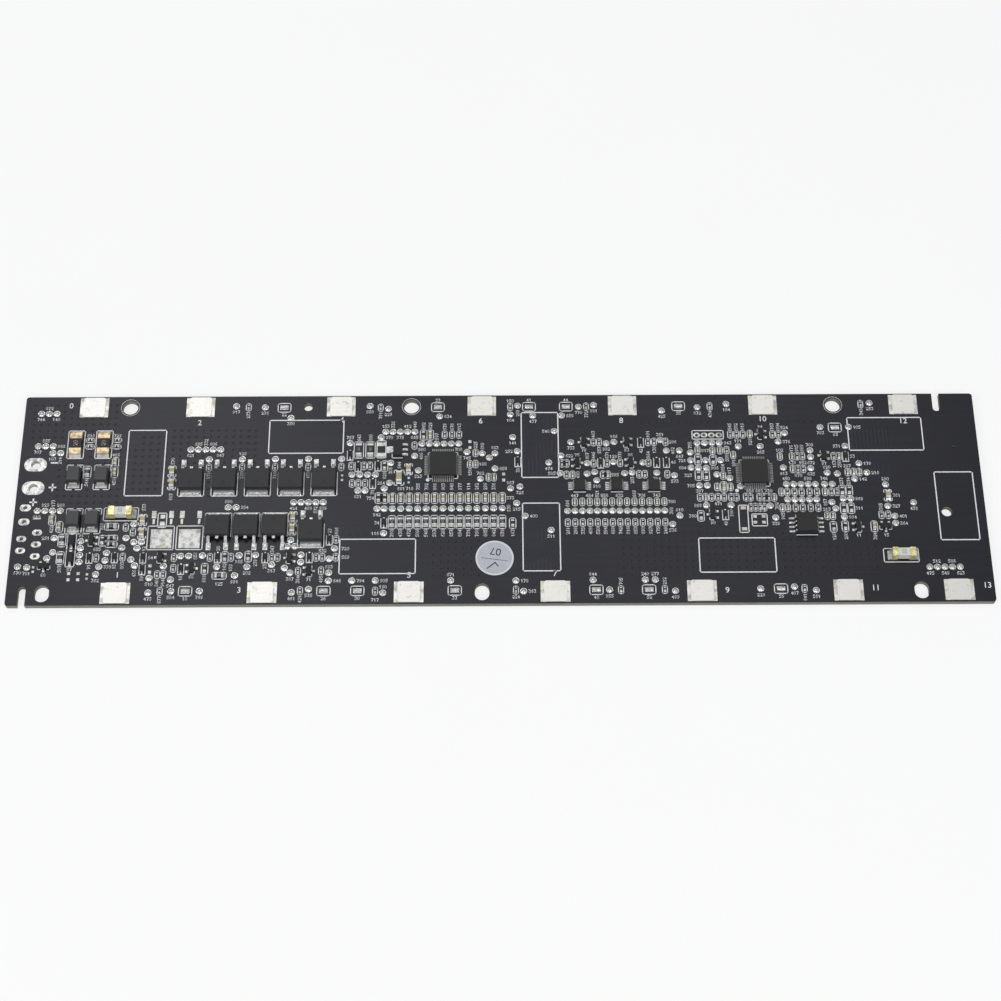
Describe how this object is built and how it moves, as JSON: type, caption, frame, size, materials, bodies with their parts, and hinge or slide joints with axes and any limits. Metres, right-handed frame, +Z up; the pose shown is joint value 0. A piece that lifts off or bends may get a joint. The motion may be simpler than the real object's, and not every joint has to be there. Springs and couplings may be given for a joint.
{
  "type": "battery management board",
  "caption": "Long narrow black circuit board that balances, measures and switches a series battery pack, with nickel cell tabs along both long edges.",
  "frame": {"origin": "centre of the underside of the board", "axes": "+X along the board from the wire end to the plain end, +Y towards the edge with the even-numbered tabs, +Z up from the underside to the side that carries the parts"},
  "size_m": [0.257, 0.062, 0.0042],
  "materials": {
    "solder_mask": "satin black solder mask over glass-epoxy laminate",
    "tinned_land": "tinned copper, slightly dull",
    "nickel": "plain nickel plate, satin",
    "copper_plating": "tin-plated copper",
    "solder": "bright solder",
    "mould_compound": "fine-grained black epoxy",
    "lead_metal": "matt tin plating",
    "resistor_coat": "black protective coat",
    "chip_terminal": "tinned, dull",
    "capacitor_ceramic": "fired tan ceramic",
    "shunt_coat": "black coat",
    "shunt_metal": "plated copper",
    "fuse_ceramic": "white ceramic",
    "fuse_metal": "pale gold plating",
    "sticker_foil": "silver-grey printed label stock"
  },
  "bodies": {
    "root": {"board": "solder_mask", "cell_tab_lands": "tinned_land", "cell_tabs": "nickel", "power_wire_lands": "copper_plating", "signal_wire_lands": "copper_plating", "header_lands": "copper_plating", "test_pads": "solder", "jumper_beads": "solder", "open_lands": "tinned_land", "mosfet_lands": "tinned_land", "mosfet_bodies": "mould_compound", "mosfet_heat_tabs": "lead_metal", "mosfet_leads": "lead_metal", "controller_lands": "tinned_land", "controller_body": "mould_compound", "controller_leads": "lead_metal", "monitor_lands": "tinned_land", "monitor_body": "mould_compound", "monitor_leads": "lead_metal", "memory_lands": "tinned_land", "memory_body": "mould_compound", "memory_leads": "lead_metal", "balancer_lands": "tinned_land", "balancer_bodies": "mould_compound", "balancer_leads": "lead_metal", "regulator_lands": "tinned_land", "regulator_body": "mould_compound", "regulator_leads": "lead_metal", "transistor_lands": "tinned_land", "transistor_bodies": "mould_compound", "transistor_leads": "lead_metal", "rectifier_lands": "tinned_land", "rectifier_bodies": "mould_compound", "rectifier_leads": "lead_metal", "clamp_lands": "tinned_land", "clamp_bodies": "mould_compound", "clamp_leads": "lead_metal", "diode_lands": "tinned_land", "diode_bodies": "mould_compound", "diode_leads": "lead_metal", "chip_lands": "tinned_land", "resistor_bodies": "resistor_coat", "resistor_terminals": "chip_terminal", "balance_lands": "tinned_land", "balance_bodies": "resistor_coat", "balance_terminals": "chip_terminal", "capacitor_bodies": "capacitor_ceramic", "capacitor_terminals": "chip_terminal", "shunt_lands": "tinned_land", "shunt_bodies": "shunt_coat", "shunt_terminals": "shunt_metal", "fuse_lands": "tinned_land", "fuse_bodies": "fuse_ceramic", "fuse_caps": "fuse_metal", "sticker": "sticker_foil"}
  },
  "joints": []
}
